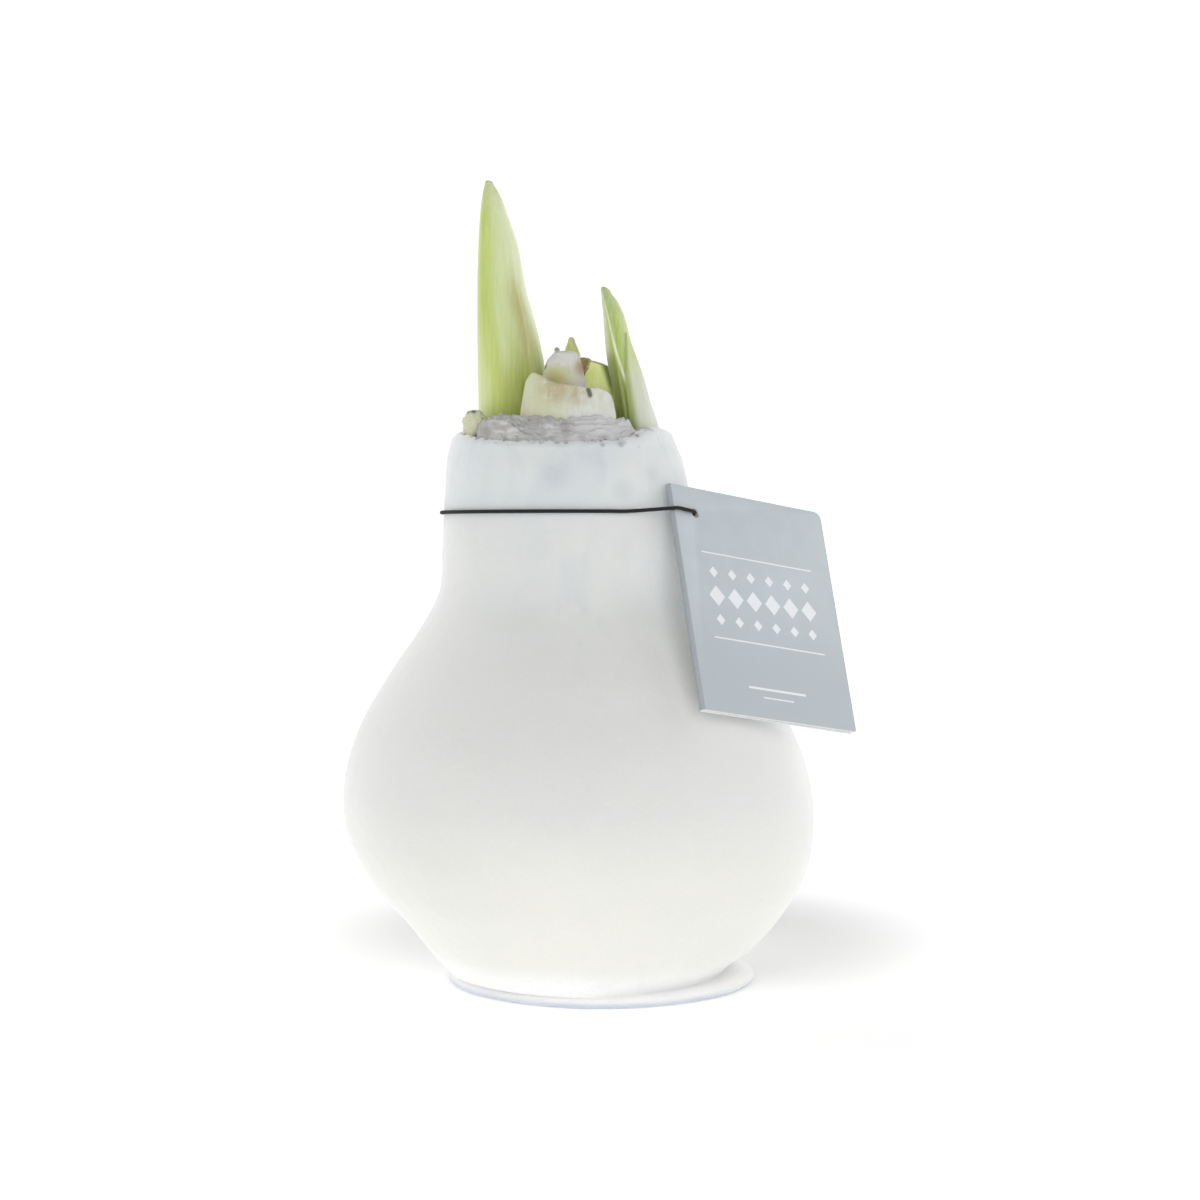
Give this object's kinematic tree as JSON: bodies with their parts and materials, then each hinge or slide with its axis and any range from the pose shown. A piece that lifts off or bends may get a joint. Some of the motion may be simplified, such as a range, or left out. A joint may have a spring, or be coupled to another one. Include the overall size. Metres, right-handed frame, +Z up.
{
  "type": "amaryllis bulb",
  "caption": "Amaryllis bulb dipped in matt white wax, with pointed green flower shoots and cut scales at its neck, and a folded grey tag on a black elastic.",
  "frame": {"origin": "middle of the flat wax foot, on the surface that the bulb stands on", "axes": "+Z up along the neck and shoots, -Y towards the viewer in the picture, +X to the viewer's right, where the tag hangs"},
  "size_m": [0.1096, 0.101, 0.1714],
  "materials": {
    "white_wax": "matte",
    "bulb_flesh": "matte",
    "cut_scale": "matte",
    "grey_scale": "matte",
    "dry_tunic": "matte",
    "brown_husk": "matte",
    "shoot_green": "satin",
    "leaf_green": "satin",
    "pale_sheath": "matte",
    "black_elastic": "matte",
    "grey_card": "matte"
  },
  "bodies": {
    "root": {"wax_coat": "white_wax", "bulb": "bulb_flesh", "front_scale_stump": "cut_scale", "back_scale_stump": "cut_scale", "side_scale_stub": "cut_scale", "inner_scale_stump": "grey_scale", "dry_tunic_front": "dry_tunic", "dry_tunic_back": "dry_tunic", "dry_brown_scale": "brown_husk", "tall_flower_shoot": "shoot_green", "short_flower_shoot": "shoot_green", "short_shoot_sheath": "pale_sheath", "young_leaf_tip": "leaf_green", "cut_leaf_base": "leaf_green", "elastic_loop": "black_elastic", "hang_tag": "grey_card"}
  },
  "joints": []
}
